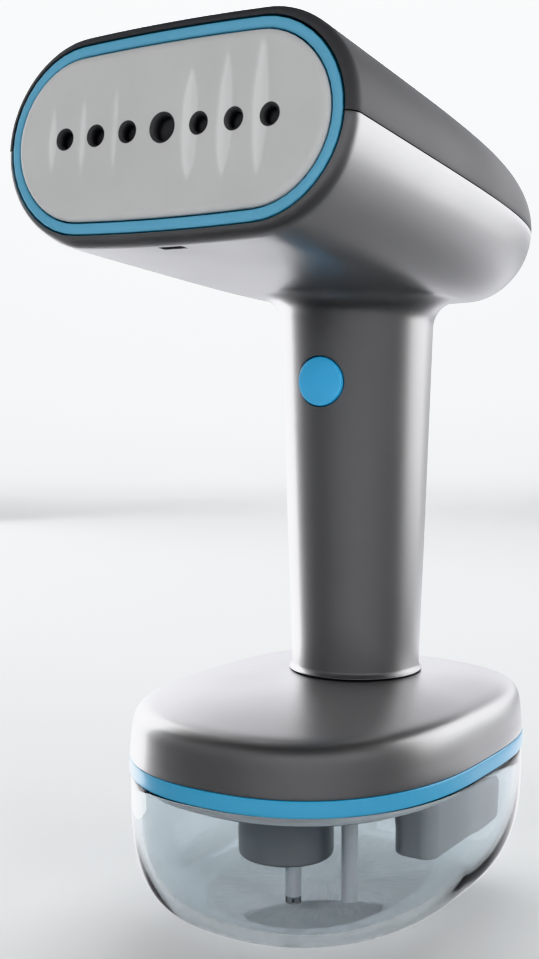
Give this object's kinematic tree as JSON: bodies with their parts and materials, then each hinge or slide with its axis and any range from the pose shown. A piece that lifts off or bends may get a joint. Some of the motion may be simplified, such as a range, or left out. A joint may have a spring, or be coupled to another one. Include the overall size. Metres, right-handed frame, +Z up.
{
  "type": "garment steamer",
  "caption": "Hand-held garment steamer with a wide steam head, round handle with a push button, and a base that stands on a clear water tank.",
  "frame": {"origin": "centre of the flat foot under the water tank", "axes": "+Z up along the handle, -Y towards the steam plate at the front, +X to the side"},
  "size_m": [0.1068, 0.1478, 0.243],
  "materials": {
    "clear_plastic": "clear polished tank",
    "trim_blue": "satin blue",
    "head_ring_blue": "satin blue",
    "button_blue": "satin bright blue",
    "shell_plastic": "satin silver grey",
    "cover_plastic": "satin dark grey",
    "plate_coating": "smooth light grey coating",
    "pod_plastic": "matte grey",
    "case_plastic": "matte light grey",
    "dark_plastic": "matte near black",
    "natural_plastic": "natural moulded",
    "hose_silicone": "milky silicone",
    "seal_rubber": "matte",
    "cast_aluminium": "as cast",
    "screw_steel": "zinc plated",
    "coil_copper": "enamelled copper winding",
    "board_green": "solder mask"
  },
  "bodies": {
    "tank": {"water_tank": "clear_plastic"},
    "steamer": {"tank_seal": "hose_silicone", "base_ring": "trim_blue", "base_cap": "shell_plastic", "base_floor": "pod_plastic", "base_screws": "screw_steel", "vent_valve": "seal_rubber", "pump_pod": "pod_plastic", "board_pod_shell": "case_plastic", "pickup_tube": "natural_plastic", "inlet_filter": "pod_plastic", "return_tube": "natural_plastic", "pump_body": "natural_plastic", "pump_sleeve": "screw_steel", "pump_coil": "coil_copper", "pump_yoke": "screw_steel", "pump_mount": "seal_rubber", "pump_spring": "screw_steel", "control_board": "board_green", "board_parts": "dark_plastic", "terminal_block": "natural_plastic", "cord_gland": "dark_plastic", "main_housing": "shell_plastic", "top_cover": "cover_plastic", "collar_ring": "pod_plastic", "collar_screws": "screw_steel", "water_hose": "hose_silicone", "wire_harness": "seal_rubber", "button_guide": "dark_plastic", "guide_screws": "screw_steel", "button_spring": "screw_steel", "micro_switch": "dark_plastic", "plate_ring": "head_ring_blue", "plate_frame": "dark_plastic", "steam_plate": "plate_coating", "boiler_block": "cast_aluminium", "heating_element": "screw_steel", "boiler_gasket": "seal_rubber", "boiler_cover": "cast_aluminium", "boiler_screws": "screw_steel", "thermostat": "natural_plastic", "thermal_fuse": "screw_steel", "heat_shield": "dark_plastic", "shield_screws": "screw_steel"},
    "button": {"steam_button": "button_blue"},
    "plunger": {"switch_plunger": "natural_plastic"},
    "piston": {"pump_piston": "screw_steel"}
  },
  "joints": [
    {"name": "tank_release", "type": "slide", "parent": "tank", "child": "steamer", "axis": [0, 0, 1], "range_m": [0, 0.06]},
    {"name": "button_press", "type": "slide", "parent": "steamer", "child": "button", "axis": [0, 1, 0], "range_m": [0, 0.0015], "stiffness_N_per_m": 900, "springref_m": -0.001, "deforming": ["button_spring"]},
    {"name": "plunger_press", "type": "slide", "parent": "steamer", "child": "plunger", "axis": [0, 1, 0], "range_m": [0, 0.0015]},
    {"name": "pump_stroke", "type": "slide", "parent": "steamer", "child": "piston", "axis": [0, 0, -1], "range_m": [0, 0.002], "stiffness_N_per_m": 600, "springref_m": -0.001, "deforming": ["pump_spring"]}
  ],
  "couplings": [
    {"joint": "plunger_press", "follows": "button_press", "ratio": 1}
  ]
}
